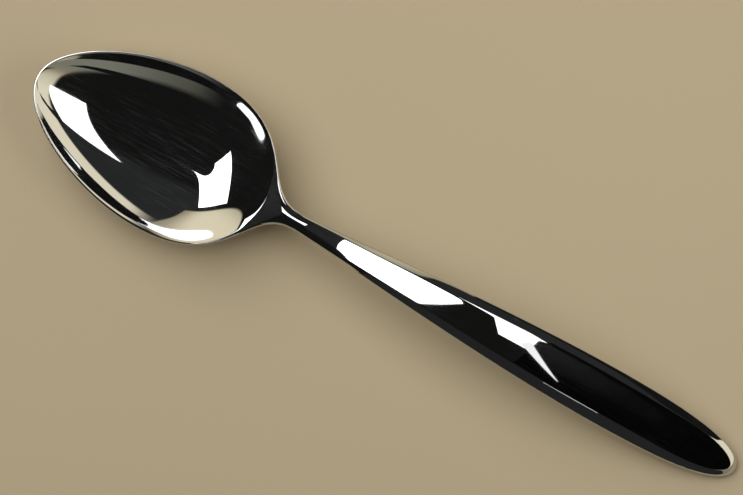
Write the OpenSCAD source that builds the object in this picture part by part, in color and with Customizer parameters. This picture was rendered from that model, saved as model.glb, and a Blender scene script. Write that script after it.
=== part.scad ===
// Tablespoon of polished steel, lying on a table.
// The spoon runs along X with its bowl towards -X, its hollow looks up, and the table is the plane z = 0.
// Bowl, neck and handle are three stretches of one smooth form. They share one outline, one side line and
// one cross section, so they meet face to face wherever the spoon is divided.

/* [Bowl] */
// Length of the bowl, from its tip to the narrowest place of the neck
bowl_length = 74; // [64:0.5:95]
// Width of the bowl across its rim
bowl_width = 42; // [32:0.5:56]
// Distance from the tip to the widest place of the bowl
bowl_widest = 39.6; // [32:0.2:46]
// Depth of the hollow, from the rim to the inside floor
bowl_depth = 9.9; // [6:0.1:14]
// Thickness of the metal in the bowl
bowl_wall = 1.9; // [1.4:0.1:3]
// Radius that rounds the upper and lower edge of the rim
rim_round = 0.5; // [0.3:0.05:0.6]
// How far the tip of the rim stands above the rest of the rim
tip_lift = 0.6; // [0:0.1:3]
// Width of the level strip along the middle of the bowl's underside, on which the spoon rests
rest_width = 5; // [3:0.1:8]

/* [Hollow] */
// Distance from the tip to the deepest place of the hollow
deepest_place = 46.5; // [38:0.5:50]
// Distance from the end of the hollow to the narrowest place of the neck
hollow_runout = 9; // [4:0.5:11]
// Slope of the inside wall at the tip, in degrees
tip_slope = 34; // [20:1:45]
// Lengthwise radius of the inside wall at the tip
tip_radius = 28; // [20:1:60]
// Lengthwise radius of the inside floor at the deepest place
floor_radius = 150; // [60:5:400]
// Slope of the inside wall at the heel, in degrees
heel_slope = 38; // [25:1:45]
// Lengthwise radius over which that wall turns into the top of the neck
heel_radius = 2.5; // [2:0.5:10]
// Flatness of the hollow across the tip: 0 is a parabola, and more makes a flatter floor and steeper walls
tip_flatness = 0.7; // [0:0.05:0.9]
// The same at the end of the hollow, where less than 0 makes walls that lean back towards the rim
heel_flatness = -0.08; // [-0.4:0.02:0.6]

/* [Neck] */
// Length of the neck, from its narrowest place to the start of the handle
neck_length = 26; // [14:0.5:40]
// Width of the neck at its narrowest place
neck_width = 4.6; // [3.6:0.1:8]
// Thickness of the neck at its narrowest place
neck_thickness = 4.4; // [3.4:0.1:6]
// Height of the flat side between the neck's rounded top and underside
neck_side = 1.2; // [0.6:0.1:1.8]
// Width of the round along each edge of the neck
neck_round = 1; // [0.5:0.1:1.5]
// Height that the neck swells between its rounds, above and below
neck_crown = 0.4; // [0.1:0.05:0.6]
// Angle at which the neck rises from the bowl, in degrees
neck_rise = 9.6; // [4:0.2:14]

/* [Handle] */
// Length of the handle, from the end of the neck to its round end
handle_length = 100; // [70:1:140]
// Width of the handle at its widest place
handle_width = 14.8; // [10:0.2:22]
// Distance from the start of the handle to its widest place
handle_widest = 64.5; // [45:0.5:75]
// Thickness of the handle at the bevel's inner edge
handle_thickness = 2.6; // [2:0.1:4]
// Width of the bevel along each side, at the handle's widest place
bevel_width = 2.8; // [1.5:0.1:4]
// Width of the bevel round the handle's end
end_bevel = 1.7; // [0.8:0.1:2.4]
// Height of the bevel
bevel_drop = 1.2; // [0.6:0.05:1.5]
// Radius of the gently rounded panel between the bevels
panel_radius = 45; // [15:1:120]
// Radius of the round along the lower edges
under_round = 0.5; // [0.2:0.05:0.7]

/* [Side line] */
// Distance before the neck's narrowest place at which the rim line starts to rise
heel_bend_before = 18; // [8:0.5:26]
// Distance after the neck's narrowest place at which that bend ends
heel_bend_after = 8; // [4:0.5:20]
// Distance before the start of the handle at which the handle starts to bend down
crest_bend_before = 0; // [0:0.5:16]
// Distance after the start of the handle at which that bend ends
crest_bend_after = 56; // [25:1:65]

/* [Outline fullness] */
// Fullness of the rim across the tip
tip_fullness = 0.485; // [0.35:0.005:0.65]
// Fullness of the rim from the tip to the widest place
nose_fullness = 0.465; // [0.3:0.005:0.65]
// Fullness of the rim behind the widest place
shoulder_fullness = 0.738; // [0.6:0.002:0.8]
// Length of the hollow curve that leads from the bowl to the neck
heel_fullness = 0.364; // [0.25:0.002:0.45]
// Length of the straight stretch at the neck
stem_fullness = 0.076; // [0.04:0.002:0.3]
// Fullness of the handle ahead of its widest place
blade_fullness = 0.4; // [0.25:0.01:0.6]
// Fullness of the handle behind its widest place
end_fullness = 0.583; // [0.4:0.005:0.7]
// Fullness of the handle across its end
end_roundness = 0.784; // [0.55:0.005:0.95]

/* [Fineness] */
// Steps along the bowl, for each of its two curves
bowl_steps = 24; // [12:1:32]
// Steps along the neck
neck_steps = 10; // [6:1:16]
// Steps along the handle, up to its widest place
handle_steps = 24; // [12:1:32]
// Steps along the handle's end
end_steps = 16; // [10:1:24]
// Steps from the middle line to the edge, above and below
half_steps = 10; // [6:1:14]

/* [Hidden] */
steel = [0.80, 0.81, 0.82];

// Steps of the band along the upper edge, and of the round along the lower edge
band_steps = 3;
under_steps = 2;
// Share of the handle's bevel that is straight, the rest being round
bevel_straight = 0.9;
// Most of the bowl's width that the level strip takes, where the bowl is narrow
most_level = 0.25;

// Places along the spoon, from the tip of the bowl
neck_place = bowl_length;
handle_place = neck_place + neck_length;
handle_widest_place = handle_place + handle_widest;
spoon_length = handle_place + handle_length;
hollow_end = bowl_length - hollow_runout;
heel_bend = [neck_place - heel_bend_before, neck_place + heel_bend_after];
crest_bend = [handle_place - crest_bend_before, handle_place + crest_bend_after];

// Heights of the cross section's parts
rim_height = bowl_wall + bowl_depth;
bowl_side = bowl_wall - 2 * rim_round;
neck_drop = (neck_thickness - neck_side) / 2 - neck_crown;
handle_side = handle_thickness - bevel_drop - under_round;

function smooth(x) =
    let (t = min(max(x, 0), 1))
    t * t * t * (10 - 15 * t + 6 * t * t);

function mix(a, b, share) = a + (b - a) * share;

// Where the cross section turns from that of the bowl to that of the neck, and then of the handle
function into_neck(s) = smooth((s - heel_bend[0]) / heel_bend_before);
function into_handle(s) = smooth((s - neck_place) / neck_length);

// A measure that has one value in the bowl, one at the neck and one in the handle
function along(s, in_bowl, at_neck, in_handle) =
    mix(mix(in_bowl, at_neck, into_neck(s)), in_handle, into_handle(s));

// Outline: half of the spoon seen from above, as four cubic curves from the bowl's tip to the handle's end
shoulder_run = neck_place - bowl_widest;
stem_run = handle_widest_place - neck_place;
end_run = spoon_length - handle_widest_place;
half_bowl = bowl_width / 2;
half_neck = neck_width / 2;
half_handle = handle_width / 2;

tip_curve = [
    [0, 0],
    [0, tip_fullness * half_bowl],
    [bowl_widest * (1 - nose_fullness), half_bowl],
    [bowl_widest, half_bowl]
];
shoulder_curve = [
    [bowl_widest, half_bowl],
    [bowl_widest + shoulder_fullness * shoulder_run, half_bowl],
    [neck_place - heel_fullness * shoulder_run, half_neck],
    [neck_place, half_neck]
];
stem_curve = [
    [neck_place, half_neck],
    [neck_place + stem_fullness * stem_run, half_neck],
    [handle_widest_place - blade_fullness * stem_run, half_handle],
    [handle_widest_place, half_handle]
];
end_curve = [
    [handle_widest_place, half_handle],
    [handle_widest_place + end_fullness * end_run, half_handle],
    [spoon_length, end_roundness * half_handle],
    [spoon_length, 0]
];

function curve_point(c, u) =
    pow(1 - u, 3) * c[0] + 3 * u * pow(1 - u, 2) * c[1] + 3 * u * u * (1 - u) * c[2] + pow(u, 3) * c[3];

function curve_tangent(c, u) =
    let (d = pow(1 - u, 2) * (c[1] - c[0]) + 2 * u * (1 - u) * (c[2] - c[1]) + u * u * (c[3] - c[2]))
    d / norm(d);

// The place on a curve whose distance from the tip is s, found by halving
function curve_share(c, s, low = 0, high = 1, tries = 40) =
    let (middle = (low + high) / 2)
    tries == 0 ? middle
        : curve_point(c, middle)[0] < s ? curve_share(c, s, middle, high, tries - 1)
        : curve_share(c, s, low, middle, tries - 1);

// A station holds a point of the outline, the direction into the spoon, and whether its section is square
function station(c, u, square) =
    let (p = curve_point(c, u), t = curve_tangent(c, u))
    [p[0], p[1], [t[1], -t[0]], square];

function stations(c, from, to, steps, square) =
    [for (i = [0 : steps]) station(c, mix(from, to, i / steps), square)];

// The point at a given distance inside the outline. A square section stays in its own plane across the spoon.
function inset(st, d) =
    st[3] ? [st[0], max(st[1] + d / st[2][1], 0)]
        : [st[0] + d * st[2][0], max(st[1] + d * st[2][1], 0)];

// Side line: the height of the rim, and of the inner edge of the handle's bevel.
// It is level along the bowl, rises at the neck, bends over and falls straight to the table.
function bend_run(s, bend) =
    let (length = bend[1] - bend[0], x = (s - bend[0]) / length)
    x <= 0 ? 0
        : x >= 1 ? s - (bend[0] + bend[1]) / 2
        : length * (pow(x, 3) - pow(x, 4) / 2);

// The handle falls just so far that the underside of its end touches the table
rise = tan(neck_rise);
touch_place = spoon_length - under_round;
fall = (rim_height + rise * (bend_run(touch_place, heel_bend) - bend_run(touch_place, crest_bend))
    - handle_thickness) / bend_run(touch_place, crest_bend);

function tip_rise(s) = tip_lift * pow(max(1 - s / bowl_widest, 0), 3);

function side_line(s) =
    rim_height + tip_rise(s) + rise * bend_run(s, heel_bend) - (rise + fall) * bend_run(s, crest_bend);

side_line_reach = 0.01;
function side_line_slope(s) =
    (side_line(s + side_line_reach) - side_line(s - side_line_reach)) / (2 * side_line_reach);

// A quintic curve between two ends, each given as place, height, slope and bend
function quintic(s, a, b) =
    let (run = b[0] - a[0], t = (s - a[0]) / run, t3 = pow(t, 3), t4 = pow(t, 4), t5 = pow(t, 5))
    a[1] * (1 - 10 * t3 + 15 * t4 - 6 * t5)
        + a[2] * run * (t - 6 * t3 + 8 * t4 - 3 * t5)
        + a[3] * run * run * (t * t - 3 * t3 + 3 * t4 - t5) / 2
        + b[1] * (10 * t3 - 15 * t4 + 6 * t5)
        + b[2] * run * (7 * t4 - 4 * t3 - 3 * t5)
        + b[3] * run * run * (t3 - 2 * t4 + t5) / 2;

// Floor of the hollow along the middle line, from the rim at the tip, over the deepest place, to the heel
floor_start = [rim_round, side_line(rim_round), -tan(tip_slope), 1 / tip_radius];
floor_deepest = [deepest_place, bowl_wall, 0, 1 / floor_radius];
floor_end = [hollow_end, side_line(hollow_end), tan(heel_slope), 0];

// Depth of the hollow before its end is rounded over. Past the end it goes on below zero.
heel_fall = tan(heel_slope) - side_line_slope(hollow_end);
function sharp_depth(s) =
    s >= hollow_end ? heel_fall * (hollow_end - s)
        : side_line(s) - (s < deepest_place ? quintic(s, floor_start, floor_deepest)
            : quintic(s, floor_deepest, floor_end));

// Depth that is left at the hollow's end by a round of the heel's radius
heel_left = heel_radius * pow(heel_fall, 2) / (4 * pow(1 + pow(heel_fall, 2) / 4, 1.5));
function hollow_depth(s) =
    let (
        depth = sharp_depth(s),
        left = heel_left * smooth((s - deepest_place) / (hollow_end - deepest_place))
    )
    s <= rim_round ? 0 : (depth + sqrt(depth * depth + 4 * left * left)) / 2;

function hollow_flatness(s) = mix(tip_flatness, heel_flatness, min(s / hollow_end, 1));

function hollow_share(s, v) =
    let (flat = hollow_flatness(s))
    1 - v * v * (1 - flat + flat * v * v);

// The underside follows the hollow, but for its level strip
function belly_share(s, v, level) = hollow_share(s, max(v, level)) / hollow_share(s, level);

// Parts of the cross section at a place along the spoon
function bevel_at(st) =
    let (past = (st[0] - handle_widest_place) / end_run)
    past <= 0 ? bevel_width * st[1] / half_handle : mix(bevel_width, end_bevel, smooth(past));

function band_width(st) = along(st[0], rim_round, neck_round, bevel_at(st));
function band_drop(s) = along(s, rim_round, neck_drop, bevel_drop);
function side_height(s) = along(s, bowl_side, neck_side, handle_side);
function under_width(s) = along(s, rim_round, neck_round, under_round);
function under_drop(s) = along(s, rim_round, neck_drop, under_round);
function edge_height(s) = band_drop(s) + side_height(s) + under_drop(s);
function top_crown(s, half) = along(s, 0, neck_crown, half * half / (2 * panel_radius));
function under_crown(s) = along(s, 0, neck_crown, 0);

function top_point(st, v) =
    let (p = inset(st, band_width(st)), s = p[0])
    [s, v * p[1], side_line(s) - hollow_depth(s) * hollow_share(s, v) + top_crown(s, p[1]) * (1 - v * v)];

function band_point(st, k) =
    let (
        straight = bevel_straight * into_handle(st[0]),
        out = mix(sin(90 * k), k, straight),
        down = mix(1 - cos(90 * k), k, straight),
        p = inset(st, band_width(st) * (1 - out))
    )
    [p[0], p[1], side_line(p[0]) - band_drop(st[0]) * down];

function under_point(st, k) =
    let (p = inset(st, under_width(st[0]) * (1 - cos(90 * k))), s = st[0])
    [p[0], p[1], side_line(p[0]) - band_drop(s) - side_height(s) - under_drop(s) * sin(90 * k)];

// The second step of the underside lies on the edge of the level strip
function bottom_point(st, j) =
    let (
        p = inset(st, under_width(st[0])),
        s = p[0],
        level = min(rest_width / (2 * p[1]), most_level),
        v = j == 0 ? 0 : mix(level, 1, (j - 1) / (half_steps - 1))
    )
    [s, v * p[1], side_line(s) - edge_height(st[0]) - hollow_depth(s) * belly_share(s, v, level)
        - under_crown(s) * (1 - v * v)];

// Half of a cross section, from the middle of the top round the edge to the middle of the underside
function half_section(st) = [
    for (j = [0 : half_steps]) top_point(st, j / half_steps),
    for (j = [1 : band_steps]) band_point(st, j / band_steps),
    for (j = [0 : under_steps - 1]) under_point(st, j / under_steps),
    for (j = [half_steps : -1 : 0]) bottom_point(st, j)
];

last = 2 * half_steps + band_steps + under_steps + 1;
ring_size = 2 * last;

function ring(st) =
    let (half = half_section(st))
    [
        for (p = half) [p[0] - spoon_length / 2, p[1], p[2]],
        for (j = [last - 1 : -1 : 1]) [half[j][0] - spoon_length / 2, -half[j][1], half[j][2]]
    ];

// At the tip and at the handle's end both halves of the section fall together into one edge
function folded(j) =
    let (r = min(j, ring_size - j))
    r <= half_steps ? 0 : r >= last - half_steps ? last : r;

// Skin over a row of stations. An end that is not folded to an edge is closed by a flat face.
module skin(row, fold_first = false, fold_last = false) {
    count = len(row);
    function corner(i, j) =
        let (k = j % ring_size)
        i * ring_size + ((i == 0 && fold_first) || (i == count - 1 && fold_last) ? folded(k) : k);
    sides = [
        for (i = [0 : count - 2], j = [0 : ring_size - 1])
        let (a = corner(i, j), b = corner(i, j + 1), c = corner(i + 1, j + 1), d = corner(i + 1, j))
        each [[a, b, c], [a, c, d]]
    ];
    proper_sides = [for (f = sides) if (f[0] != f[1] && f[1] != f[2] && f[2] != f[0]) f];
    first_face = [for (j = [ring_size - 1 : -1 : 0]) corner(0, j)];
    last_face = [for (j = [0 : ring_size - 1]) corner(count - 1, j)];
    polyhedron(
        points = [for (st = row) each ring(st)],
        faces = [
            each proper_sides,
            if (!fold_first) first_face,
            if (!fold_last) last_face
        ],
        convexity = 4
    );
}

handle_share = curve_share(stem_curve, handle_place);

// Two rows of stations whose shared place is kept once
function joined(a, b) = [each a, for (i = [1 : len(b) - 1]) b[i]];

module bowl() {
    nose = stations(tip_curve, 0, 1, bowl_steps, false);
    shoulder = stations(shoulder_curve, 0, 1, bowl_steps, true);
    color(steel) skin(joined(nose, shoulder), fold_first = true);
}

module neck() {
    color(steel) skin(stations(stem_curve, 0, handle_share, neck_steps, true));
}

module handle() {
    blade = stations(stem_curve, handle_share, 1, handle_steps, true);
    round_end = stations(end_curve, 0, 1, end_steps, false);
    color(steel) skin(joined(blade, round_end), fold_last = true);
}

bowl();
neck();
handle();
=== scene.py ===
"""A polished steel tablespoon on a plain pale floor, seen from straight above."""

import math

import bpy
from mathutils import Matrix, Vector


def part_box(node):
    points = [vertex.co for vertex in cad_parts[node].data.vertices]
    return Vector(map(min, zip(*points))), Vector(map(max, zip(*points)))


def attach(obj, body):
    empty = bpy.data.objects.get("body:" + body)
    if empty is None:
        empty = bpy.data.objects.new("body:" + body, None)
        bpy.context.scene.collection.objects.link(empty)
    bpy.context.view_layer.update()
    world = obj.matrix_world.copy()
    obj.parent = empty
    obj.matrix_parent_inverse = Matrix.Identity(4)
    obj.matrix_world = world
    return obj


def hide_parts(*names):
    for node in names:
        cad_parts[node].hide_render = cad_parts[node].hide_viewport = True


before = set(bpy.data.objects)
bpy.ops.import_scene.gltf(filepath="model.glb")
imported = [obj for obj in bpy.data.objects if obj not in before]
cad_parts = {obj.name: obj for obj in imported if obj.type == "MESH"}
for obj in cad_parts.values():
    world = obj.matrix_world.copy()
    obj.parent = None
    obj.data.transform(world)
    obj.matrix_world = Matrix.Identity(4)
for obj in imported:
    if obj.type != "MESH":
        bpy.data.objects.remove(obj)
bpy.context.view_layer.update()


def oblong(left, right, low, high):
    """Four corners of an oblong outline."""
    return (left, low), (right, low), (right, high), (left, high)


def level_card(height, outline):
    """Corners of a level card, from its outline seen from above."""
    return [(x, y, height) for x, y in outline]


def upright_card(side, outline):
    """Corners of a card that stands along the spoon, from its outline seen from the side."""
    return [(x, side, z) for x, z in outline]


# The lengths of the spoon, in order from the tip of the bowl
LENGTHS = ("bowl", "neck", "handle")

# Corners of neighbouring lengths closer than this are one corner
WELD_GAP = 2e-6
# Faces this near to the end of a length belong to its cut
CUT_GAP = 2e-5
SMOOTHING = 2
ANY_ANGLE = math.pi

# Steel, whose tone and roughness vary in patches
COOL_STEEL = (0.64, 0.645, 0.65, 1)
WARM_STEEL = (0.69, 0.69, 0.685, 1)
TONE_LIMITS = (0.3, 0.7)
LEAST_ROUGHNESS = 0.02
MOST_ROUGHNESS = 0.05
ROUGHNESS_LIMITS = (0.35, 0.7)
PATCH_SCALE = 40
NOISE_DETAIL = 3

# Film of buffing lines and specks on the steel
FILM_ROUGHNESS = 0.42
LENGTHWISE_TURN = 0.10
LENGTHWISE_SCALE = (110, 3600, 300)
LENGTHWISE_LIMITS = (0.50, 0.80)
CROSSING_TURN = -0.55
CROSSING_SCALE = (130, 3000, 300)
CROSSING_LIMITS = (0.54, 0.84)
LEAST_WEAR = 0.12
WEAR_LIMITS = (0.38, 0.68)
HANDLE_USE = 0.3
USE_LIMITS = (0.03, -0.03)
SPECK_SCALE = 75
SPECK_LIMITS = (0.045, 0.02)

# Picture
PICTURE_WIDTH = 743
PIXELS_PER_METRE = 3990
CAMERA_HEIGHT = 1.2
CAMERA_TURN = math.radians(29.48)
PICTURE_CENTRE = Vector((-0.00667, 0.00351, 0.0))
SENSOR_WIDTH = 36

# Floor
FLOOR_SIZE = 6
FLOOR_COLOUR = (0.43, 0.35, 0.223, 1)
FLOOR_ROUGHNESS = 0.8

# Corners of the two softboxes
LEFT_SOFTBOX = (
    (-0.0721, 0.1483, 1.3247),
    (-0.6431, -0.6756, 0.7611),
    (-1.5400, 0.4703, 0.4387),
    (-0.9691, 1.2941, 1.0023),
)
RIGHT_SOFTBOX = (
    (0.2291, 0.0088, 0.2458),
    (0.0831, 0.0037, 0.2814),
    (-0.0185, 0.1855, 0.2669),
    (0.1274, 0.1906, 0.2314),
)

# Small cards that draw out the highlights of the handle
TAIL_CARD = level_card(0.07, ((0.0545, 0.0035), (0.0818, -0.0103), (0.0821, -0.0098), (0.0598, 0.0085)))
LINE_CARD = level_card(0.03, ((0.055, -0.0164), (0.075, -0.0170), (0.075, -0.0154), (0.055, -0.0158)))

# Small cards that hide a softbox or a pale part of the room from one stretch of the spoon
HEEL_CARD = level_card(0.0212, oblong(-0.0538, -0.0325, -0.010, 0.012))
NECK_CARD = level_card(0.024, oblong(-0.027, -0.017, -0.004, 0.014))
RIM_CARD = level_card(0.04, oblong(-0.056, -0.034, 0.0207, 0.030))
FAR_RIM_CARD = level_card(0.03, ((-0.100, -0.030), (-0.056, -0.030), (-0.056, -0.0215), (-0.100, -0.0118)))
HANDLE_CARD = level_card(0.08, ((0.057, -0.03), (0.19, -0.03), (0.19, 0.07), (0.080, 0.07)))
EDGE_CARD = upright_card(-0.03, oblong(-0.012, 0.135, 0.004, 0.055))
FAR_EDGE_CARD = upright_card(0.03, oblong(0.02, 0.112, 0.004, 0.03))
BOWL_CARD_CENTRE = (-0.063, -0.008, 0.1)
BOWL_CARD_RADIUS = 0.0205
BOWL_CARD_SIDES = 32

# Level of the light from each softbox and from the cloths on the small cards
LEFT_LEVEL = 3.4
RIGHT_LEVEL = 2.4
LIGHT_LEVEL = 1.3
GREY_LEVEL = 0.022
ROOM_LEVEL = 0.009
DARK_LEVEL = 0.002
BLACK = (0, 0, 0, 1)
WHITE = (1, 1, 1, 1)

# Dark room, a little lighter on the +y side
ROOM_COLOUR = (0.009, 0.009, 0.0085, 1)
LIGHTER_COLOUR = (0.026, 0.027, 0.027, 1)
LIGHTER_LIMITS = (0.35, 0.6)

# Pale part of the room towards the end of the handle, in shade on the -y side
END_TOP = 0.285
END_TOP_PER_X = 0.42
END_TOP_PER_Y = -0.07
END_SIDE_LIMITS = (-0.15, 0.05)
END_HARD_LIMITS = (-0.02, 0.03)
END_SOFT_LIMITS = (-0.08, 0.10)
END_DIM = (0.36, 0.31, 0.20, 1)
END_BRIGHT = (1.0, 0.92, 0.70, 1)
END_BRIGHT_LIMITS = (-0.35, 0.15)
SHADE_LIMITS = (-0.1, -0.6)
SHADE_DIM = (0.08, 0.08, 0.065, 1)
SHADE_BRIGHT = (0.24, 0.24, 0.19, 1)
SHADE_BRIGHT_LIMITS = (-0.1, 0.5)

# Pale part of the room towards the tip of the bowl, on the +y side
TIP_TOP_PER_Y = 0.62
TIP_TOP_LIMITS = (-0.01, 0.03)
TIP_SIDE_PER_Y = 0.085
TIP_SIDE_PER_Z = 0.39
TIP_SIDE_LIMITS = (0.01, -0.01)
TIP_DIM = (0.22, 0.19, 0.12, 1)
TIP_BRIGHT = (1.0, 0.90, 0.65, 1)
TIP_BRIGHT_PER_X = 0.70
TIP_BRIGHT_PER_Y = 0.71
TIP_BRIGHT_LIMITS = (0.72, 0.98)


def deselect_all():
    bpy.ops.object.select_all(action="DESELECT")


def copy_of_lengths():
    """Joins a copy of each length of the spoon into one object."""
    copies = []
    for name in LENGTHS:
        copy = bpy.data.objects.new("spoon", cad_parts[name].data.copy())
        bpy.context.scene.collection.objects.link(copy)
        copies.append(copy)
    deselect_all()
    for copy in copies:
        copy.select_set(True)
    bpy.context.view_layer.objects.active = copies[0]
    bpy.ops.object.join()
    spoon = bpy.context.view_layer.objects.active
    spoon.name = "spoon"
    spoon.data.name = "spoon"
    spoon.data.materials.clear()
    return spoon


def open_cuts(spoon):
    """Takes out the flat faces between the lengths, so that one skin runs through."""
    cuts = [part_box(name)[1].x for name in LENGTHS[:-1]]
    bpy.ops.object.mode_set(mode="EDIT")
    bpy.ops.mesh.select_mode(type="FACE")
    bpy.ops.mesh.select_all(action="DESELECT")
    bpy.ops.object.mode_set(mode="OBJECT")
    corners = spoon.data.vertices
    for face in spoon.data.polygons:
        face.select = any(
            all(abs(corners[i].co.x - cut) < CUT_GAP for i in face.vertices)
            for cut in cuts
        )
    bpy.ops.object.mode_set(mode="EDIT")
    bpy.ops.mesh.delete(type="FACE")
    bpy.ops.object.mode_set(mode="OBJECT")


def spoon_skin():
    """One closed, rounded skin over bowl, neck and handle."""
    spoon = copy_of_lengths()
    open_cuts(spoon)
    bpy.ops.object.mode_set(mode="EDIT")
    bpy.ops.mesh.select_all(action="SELECT")
    bpy.ops.mesh.customdata_custom_splitnormals_clear()
    bpy.ops.mesh.remove_doubles(threshold=WELD_GAP)
    bpy.ops.mesh.tris_convert_to_quads(face_threshold=ANY_ANGLE, shape_threshold=ANY_ANGLE)
    bpy.ops.object.mode_set(mode="OBJECT")
    rounding = spoon.modifiers.new("rounding", "SUBSURF")
    rounding.levels = SMOOTHING
    rounding.render_levels = SMOOTHING
    bpy.ops.object.modifier_apply(modifier=rounding.name)
    bpy.ops.object.shade_smooth()
    return spoon


class NodeBench:
    """Adds nodes to a tree and wires them up."""

    def __init__(self, tree):
        self.nodes = tree.nodes
        self.links = tree.links

    def add(self, kind, **settings):
        made = self.nodes.new(kind)
        for name, value in settings.items():
            setattr(made, name, value)
        return made

    def feed(self, socket, value):
        """Wires the socket to another one, or sets it to a plain value."""
        if isinstance(value, bpy.types.NodeSocket):
            self.links.new(value, socket)
        else:
            socket.default_value = value

    def maths(self, operation, a, b):
        made = self.add("ShaderNodeMath", operation=operation)
        self.feed(made.inputs[0], a)
        self.feed(made.inputs[1], b)
        return made.outputs[0]

    def step(self, value, limits, start=0.0, end=1.0):
        """Goes softly from start to end while the value goes from the first limit to the second."""
        made = self.add("ShaderNodeMapRange", interpolation_type="SMOOTHSTEP")
        self.feed(made.inputs["Value"], value)
        made.inputs["From Min"].default_value = limits[0]
        made.inputs["From Max"].default_value = limits[1]
        made.inputs["To Min"].default_value = start
        made.inputs["To Max"].default_value = end
        return made.outputs["Result"]

    def blend(self, share, a, b):
        """Goes from colour a to colour b as the share goes from 0 to 1."""
        made = self.add("ShaderNodeMix", data_type="RGBA")
        # Several sockets of a Mix node have the same name, so these go by number
        self.feed(made.inputs[0], share)
        self.feed(made.inputs[6], a)
        self.feed(made.inputs[7], b)
        return made.outputs[2]

    def noise(self, place, scale=1):
        made = self.add("ShaderNodeTexNoise")
        self.feed(made.inputs["Vector"], place)
        made.inputs["Scale"].default_value = scale
        made.inputs["Detail"].default_value = NOISE_DETAIL
        return made.outputs["Fac"]

    def streaks(self, place, turn, scale, limits):
        """Thin lines along the spoon, turned a little to one side."""
        mapping = self.add("ShaderNodeMapping")
        self.feed(mapping.inputs["Vector"], place)
        mapping.inputs["Rotation"].default_value = (0, 0, turn)
        mapping.inputs["Scale"].default_value = scale
        return self.step(self.noise(mapping.outputs["Vector"]), limits)


def buffing_lines(bench, place, patches):
    """Mask of fine lines, strongest in worn patches and in the bowl."""
    lengthwise = bench.streaks(place, LENGTHWISE_TURN, LENGTHWISE_SCALE, LENGTHWISE_LIMITS)
    crossing = bench.streaks(place, CROSSING_TURN, CROSSING_SCALE, CROSSING_LIMITS)
    wear = bench.step(patches, WEAR_LIMITS, start=LEAST_WEAR)
    along = bench.add("ShaderNodeSeparateXYZ")
    bench.feed(along.inputs[0], place)
    use = bench.step(along.outputs["X"], USE_LIMITS, start=HANDLE_USE)
    worn_lines = bench.maths("MULTIPLY", bench.maths("MAXIMUM", lengthwise, crossing), wear)
    return bench.maths("MULTIPLY", worn_lines, use)


def specks(bench, place):
    """Mask of small scattered dots."""
    dots = bench.add("ShaderNodeTexVoronoi")
    bench.feed(dots.inputs["Vector"], place)
    dots.inputs["Scale"].default_value = SPECK_SCALE
    return bench.step(dots.outputs["Distance"], SPECK_LIMITS)


def polished_steel():
    """Mirror steel under a film of fine buffing lines and specks, with a faint unevenness of tone."""
    steel = bpy.data.materials.new("polished_steel")
    steel.use_nodes = True
    bench = NodeBench(steel.node_tree)
    place = bench.add("ShaderNodeTexCoord").outputs["Object"]
    patches = bench.noise(place, PATCH_SCALE)

    tone = bench.blend(bench.step(patches, TONE_LIMITS), COOL_STEEL, WARM_STEEL)
    roughness = bench.step(patches, ROUGHNESS_LIMITS, LEAST_ROUGHNESS, MOST_ROUGHNESS)
    film = bench.maths("MAXIMUM", buffing_lines(bench, place, patches), specks(bench, place))

    shader = bench.nodes["Principled BSDF"]
    bench.feed(shader.inputs["Base Color"], tone)
    bench.feed(shader.inputs["Roughness"], roughness)
    bench.feed(shader.inputs["Coat Weight"], film)
    shader.inputs["Metallic"].default_value = 1
    shader.inputs["Coat Roughness"].default_value = FILM_ROUGHNESS
    return steel


def pale_floor():
    deselect_all()
    bpy.ops.mesh.primitive_plane_add(size=FLOOR_SIZE)
    floor = bpy.context.active_object
    floor.name = "floor"
    paint = bpy.data.materials.new("floor_paint")
    paint.use_nodes = True
    shader = paint.node_tree.nodes["Principled BSDF"]
    shader.inputs["Base Color"].default_value = FLOOR_COLOUR
    shader.inputs["Roughness"].default_value = FLOOR_ROUGHNESS
    floor.data.materials.append(paint)


def overhead_camera():
    lens = bpy.data.cameras.new("camera")
    lens.sensor_width = SENSOR_WIDTH
    lens.lens = SENSOR_WIDTH * CAMERA_HEIGHT * PIXELS_PER_METRE / PICTURE_WIDTH
    camera = bpy.data.objects.new("camera", lens)
    camera.location = PICTURE_CENTRE + Vector((0, 0, CAMERA_HEIGHT))
    camera.rotation_euler = (0, 0, CAMERA_TURN)
    bpy.context.scene.collection.objects.link(camera)
    bpy.context.scene.camera = camera


def even_cloth(name, brightness):
    """Cloth that shows one level of white light all over."""
    cloth = bpy.data.materials.new(name)
    cloth.use_nodes = True
    shader = cloth.node_tree.nodes["Principled BSDF"]
    shader.inputs["Base Color"].default_value = BLACK
    shader.inputs["Specular IOR Level"].default_value = 0
    shader.inputs["Emission Color"].default_value = WHITE
    shader.inputs["Emission Strength"].default_value = brightness
    return cloth


def out_of_sight(made, name, cloth):
    """Names a panel, covers it with cloth and hides it from the camera."""
    made.name = name
    made.data.materials.append(cloth)
    made.visible_camera = False
    return made


def panel(name, corners, cloth):
    """A flat panel with four given corners."""
    deselect_all()
    bpy.ops.mesh.primitive_plane_add(size=1)
    made = bpy.context.active_object
    for index, corner in zip(made.data.polygons[0].vertices, corners):
        made.data.vertices[index].co = corner
    return out_of_sight(made, name, cloth)


def round_panel(name, centre, radius, sides, cloth):
    """A flat, level, round panel."""
    deselect_all()
    bpy.ops.mesh.primitive_circle_add(vertices=sides, radius=radius, fill_type="NGON", location=centre)
    return out_of_sight(bpy.context.active_object, name, cloth)


def softboxes():
    panel("left_softbox", LEFT_SOFTBOX, even_cloth("left_cloth", LEFT_LEVEL))
    panel("right_softbox", RIGHT_SOFTBOX, even_cloth("right_cloth", RIGHT_LEVEL))


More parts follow.
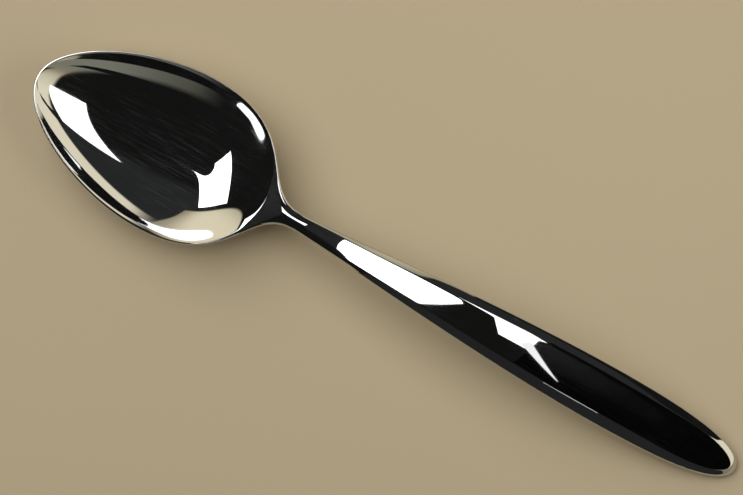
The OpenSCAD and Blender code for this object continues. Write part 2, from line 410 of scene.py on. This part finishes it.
def small_cards():
    """Cards that show in the steel only, so the floor keeps its light."""
    light_cloth = even_cloth("light_cloth", LIGHT_LEVEL)
    grey_cloth = even_cloth("grey_cloth", GREY_LEVEL)
    room_cloth = even_cloth("room_cloth", ROOM_LEVEL)
    dark_cloth = even_cloth("dark_cloth", DARK_LEVEL)
    cards = (
        panel("tail_card", TAIL_CARD, light_cloth),
        panel("line_card", LINE_CARD, light_cloth),
        panel("heel_card", HEEL_CARD, grey_cloth),
        panel("neck_card", NECK_CARD, grey_cloth),
        round_panel("bowl_card", BOWL_CARD_CENTRE, BOWL_CARD_RADIUS, BOWL_CARD_SIDES, room_cloth),
        panel("rim_card", RIM_CARD, room_cloth),
        panel("far_rim_card", FAR_RIM_CARD, room_cloth),
        panel("far_edge_card", FAR_EDGE_CARD, room_cloth),
        panel("handle_card", HANDLE_CARD, dark_cloth),
        panel("edge_card", EDGE_CARD, grey_cloth),
    )
    for card in cards:
        card.visible_shadow = False
        card.visible_diffuse = False


def pale_end(bench, x, y, z):
    """Mask and colour of the pale part towards the end of the handle. Its top is softer in the shade."""
    top_across = bench.maths("ADD", bench.maths("MULTIPLY", y, END_TOP_PER_Y), END_TOP)
    top = bench.maths("ADD", bench.maths("MULTIPLY", x, END_TOP_PER_X), top_across)
    below = bench.maths("SUBTRACT", top, z)
    shade = bench.step(y, SHADE_LIMITS)
    lit = bench.maths("SUBTRACT", 1.0, shade)
    hard_top = bench.maths("MULTIPLY", bench.step(below, END_HARD_LIMITS), lit)
    soft_top = bench.maths("MULTIPLY", bench.step(below, END_SOFT_LIMITS), shade)
    side = bench.step(x, END_SIDE_LIMITS)
    mask = bench.maths("MULTIPLY", bench.maths("ADD", hard_top, soft_top), side)
    lit_colour = bench.blend(bench.step(y, END_BRIGHT_LIMITS), END_DIM, END_BRIGHT)
    shade_colour = bench.blend(bench.step(x, SHADE_BRIGHT_LIMITS), SHADE_DIM, SHADE_BRIGHT)
    return mask, bench.blend(shade, lit_colour, shade_colour)


def pale_tip(bench, x, y, z):
    """Mask and colour of the pale part towards the tip of the bowl."""
    below = bench.maths("SUBTRACT", bench.maths("MULTIPLY", y, TIP_TOP_PER_Y), z)
    lean = bench.maths("MULTIPLY", z, TIP_SIDE_PER_Z)
    slant = bench.maths("ADD", bench.maths("MULTIPLY", y, TIP_SIDE_PER_Y), lean)
    side = bench.step(bench.maths("ADD", x, slant), TIP_SIDE_LIMITS)
    mask = bench.maths("MULTIPLY", bench.step(below, TIP_TOP_LIMITS), side)
    towards_tip = bench.maths("MULTIPLY", x, TIP_BRIGHT_PER_X)
    middle = bench.maths("SUBTRACT", bench.maths("MULTIPLY", y, TIP_BRIGHT_PER_Y), towards_tip)
    return mask, bench.blend(bench.step(middle, TIP_BRIGHT_LIMITS), TIP_DIM, TIP_BRIGHT)


def studio():
    """Dark room with two low pale parts, which the steel mirrors."""
    world = bpy.data.worlds.new("studio")
    bpy.context.scene.world = world
    world.use_nodes = True
    bench = NodeBench(world.node_tree)
    way = bench.add("ShaderNodeSeparateXYZ")
    bench.feed(way.inputs[0], bench.add("ShaderNodeTexCoord").outputs["Generated"])
    x, y, z = way.outputs

    seen = bench.blend(bench.step(y, LIGHTER_LIMITS), ROOM_COLOUR, LIGHTER_COLOUR)
    for pale_part in (pale_end, pale_tip):
        mask, colour = pale_part(bench, x, y, z)
        seen = bench.blend(mask, seen, colour)
    # The camera sees the floor's colour past the end of the floor
    camera_ray = bench.add("ShaderNodeLightPath").outputs["Is Camera Ray"]
    seen = bench.blend(camera_ray, seen, FLOOR_COLOUR)
    bench.feed(bench.nodes["Background"].inputs["Color"], seen)


spoon = spoon_skin()
spoon.data.materials.append(polished_steel())
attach(spoon, "root")
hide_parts(*LENGTHS)

pale_floor()
overhead_camera()
softboxes()
small_cards()
studio()

bpy.context.scene.view_settings.view_transform = "Standard"
